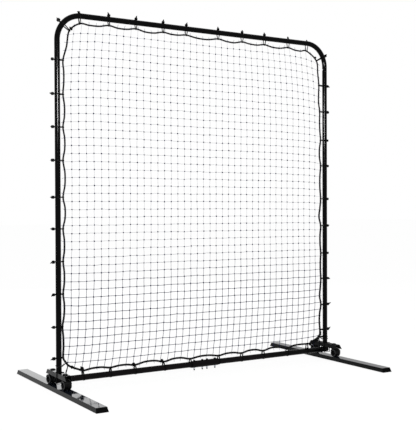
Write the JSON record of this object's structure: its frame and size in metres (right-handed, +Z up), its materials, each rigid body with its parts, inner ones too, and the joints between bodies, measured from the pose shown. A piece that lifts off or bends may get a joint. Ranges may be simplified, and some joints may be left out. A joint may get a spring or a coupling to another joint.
{
  "type": "pitch back rebounder",
  "caption": "Free-standing sports rebounder: tall square tube frame with a knotted net laced inside on a border rope, standing on two foot rails with twin-wheel casters.",
  "frame": {"origin": "on the floor, at the middle of the crossbar's length and of the foot rails' length", "axes": "+Z up, +X along the crossbar to the right seen from the front, +Y along the foot rails towards the rear"},
  "size_m": [1.997, 1.2, 2.1559],
  "materials": {
    "frame_coat": "gloss black powder coat on steel tube",
    "crossbar_coat": "satin black powder coat on steel tube",
    "bracket_coat": "satin black powder coat on steel sheet",
    "rail_coat": "gloss black powder coat on steel",
    "bolt_black": "black finished steel",
    "zinc": "bright zinc plate",
    "plug_plastic": "matt black moulding",
    "cap_plastic": "black moulding",
    "caster_plastic": "black moulding",
    "wheel_plastic": "dark grey nylon",
    "net_twine": "black knotted twine",
    "border_rope": "black braided rope",
    "tie_nylon": "black nylon"
  },
  "bodies": {
    "frame": {"top_bar": "frame_coat", "corner_left": "frame_coat", "corner_right": "frame_coat", "post_left": "frame_coat", "post_right": "frame_coat", "crossbar_left": "crossbar_coat", "crossbar_right": "crossbar_coat", "crossbar_coupler": "crossbar_coat", "coupler_bolts": "bolt_black", "coupler_nuts": "zinc", "crossbar_plug_left": "plug_plastic", "crossbar_plug_right": "plug_plastic", "bracket_left": "bracket_coat", "bracket_right": "bracket_coat", "button_spring_left": "zinc", "button_spring_right": "zinc", "foot_rail_left": "rail_coat", "foot_rail_right": "rail_coat", "rail_plug_left_front": "plug_plastic", "rail_plug_left_rear": "plug_plastic", "rail_plug_right_front": "plug_plastic", "rail_plug_right_rear": "plug_plastic", "net": "net_twine", "border_rope": "border_rope", "ties_top": "tie_nylon", "ties_left": "tie_nylon", "ties_right": "tie_nylon", "ties_bottom": "tie_nylon", "keeper_strap_left": "tie_nylon", "keeper_strap_right": "tie_nylon", "stem_lf": "zinc", "stem_lr": "zinc", "stem_rf": "zinc", "stem_rr": "zinc", "cap_nut_lf": "cap_plastic", "cap_nut_lr": "cap_plastic", "cap_nut_rf": "cap_plastic", "cap_nut_rr": "cap_plastic"},
    "button_left": {"snap_button_left": "zinc"},
    "button_right": {"snap_button_right": "zinc"},
    "swivel_lf": {"hood_lf": "caster_plastic", "axle_lf": "zinc"},
    "wheel_lf_a": {"wheel_lf_a": "wheel_plastic"},
    "wheel_lf_b": {"wheel_lf_b": "wheel_plastic"},
    "swivel_lr": {"hood_lr": "caster_plastic", "axle_lr": "zinc"},
    "wheel_lr_a": {"wheel_lr_a": "wheel_plastic"},
    "wheel_lr_b": {"wheel_lr_b": "wheel_plastic"},
    "swivel_rf": {"hood_rf": "caster_plastic", "axle_rf": "zinc"},
    "wheel_rf_a": {"wheel_rf_a": "wheel_plastic"},
    "wheel_rf_b": {"wheel_rf_b": "wheel_plastic"},
    "swivel_rr": {"hood_rr": "caster_plastic", "axle_rr": "zinc"},
    "wheel_rr_a": {"wheel_rr_a": "wheel_plastic"},
    "wheel_rr_b": {"wheel_rr_b": "wheel_plastic"}
  },
  "joints": [
    {"name": "button_left_push", "type": "slide", "parent": "frame", "child": "button_left", "axis": [-1, 0, 0], "range_m": [0, 0.0045], "stiffness_N_per_m": 2500, "springref_m": -0.003},
    {"name": "button_right_push", "type": "slide", "parent": "frame", "child": "button_right", "axis": [1, 0, 0], "range_m": [0, 0.0045], "stiffness_N_per_m": 2500, "springref_m": -0.003},
    {"name": "caster_lf_swivel", "type": "hinge", "parent": "frame", "child": "swivel_lf", "pos_m": [-0.9585, -0.092, 0.0508], "axis": [0, 0, 1], "continuous": true},
    {"name": "caster_lf_wheel_a", "type": "hinge", "parent": "swivel_lf", "child": "wheel_lf_a", "pos_m": [-0.95794, -0.10799, 0.0508], "axis": [0.9994, 0.0349, 0], "continuous": true},
    {"name": "caster_lf_wheel_b", "type": "hinge", "parent": "swivel_lf", "child": "wheel_lf_b", "pos_m": [-0.95794, -0.10799, 0.0508], "axis": [0.9994, 0.0349, 0], "continuous": true},
    {"name": "caster_lr_swivel", "type": "hinge", "parent": "frame", "child": "swivel_lr", "pos_m": [-0.9585, 0.092, 0.0508], "axis": [0, 0, 1], "continuous": true},
    {"name": "caster_lr_wheel_a", "type": "hinge", "parent": "swivel_lr", "child": "wheel_lr_a", "pos_m": [-0.96073, 0.10784, 0.0508], "axis": [-0.9903, -0.1392, 0], "continuous": true},
    {"name": "caster_lr_wheel_b", "type": "hinge", "parent": "swivel_lr", "child": "wheel_lr_b", "pos_m": [-0.96073, 0.10784, 0.0508], "axis": [-0.9903, -0.1392, 0], "continuous": true},
    {"name": "caster_rf_swivel", "type": "hinge", "parent": "frame", "child": "swivel_rf", "pos_m": [0.9585, -0.092, 0.0508], "axis": [0, 0, 1], "continuous": true},
    {"name": "caster_rf_wheel_a", "type": "hinge", "parent": "swivel_rf", "child": "wheel_rf_a", "pos_m": [0.95962, -0.10796, 0.0508], "axis": [0.9976, 0.0698, 0], "continuous": true},
    {"name": "caster_rf_wheel_b", "type": "hinge", "parent": "swivel_rf", "child": "wheel_rf_b", "pos_m": [0.95962, -0.10796, 0.0508], "axis": [0.9976, 0.0698, 0], "continuous": true},
    {"name": "caster_rr_swivel", "type": "hinge", "parent": "frame", "child": "swivel_rr", "pos_m": [0.9585, 0.092, 0.0508], "axis": [0, 0, 1], "continuous": true},
    {"name": "caster_rr_wheel_a", "type": "hinge", "parent": "swivel_rr", "child": "wheel_rr_a", "pos_m": [0.95962, 0.10796, 0.0508], "axis": [-0.9976, 0.0698, 0], "continuous": true},
    {"name": "caster_rr_wheel_b", "type": "hinge", "parent": "swivel_rr", "child": "wheel_rr_b", "pos_m": [0.95962, 0.10796, 0.0508], "axis": [-0.9976, 0.0698, 0], "continuous": true}
  ]
}
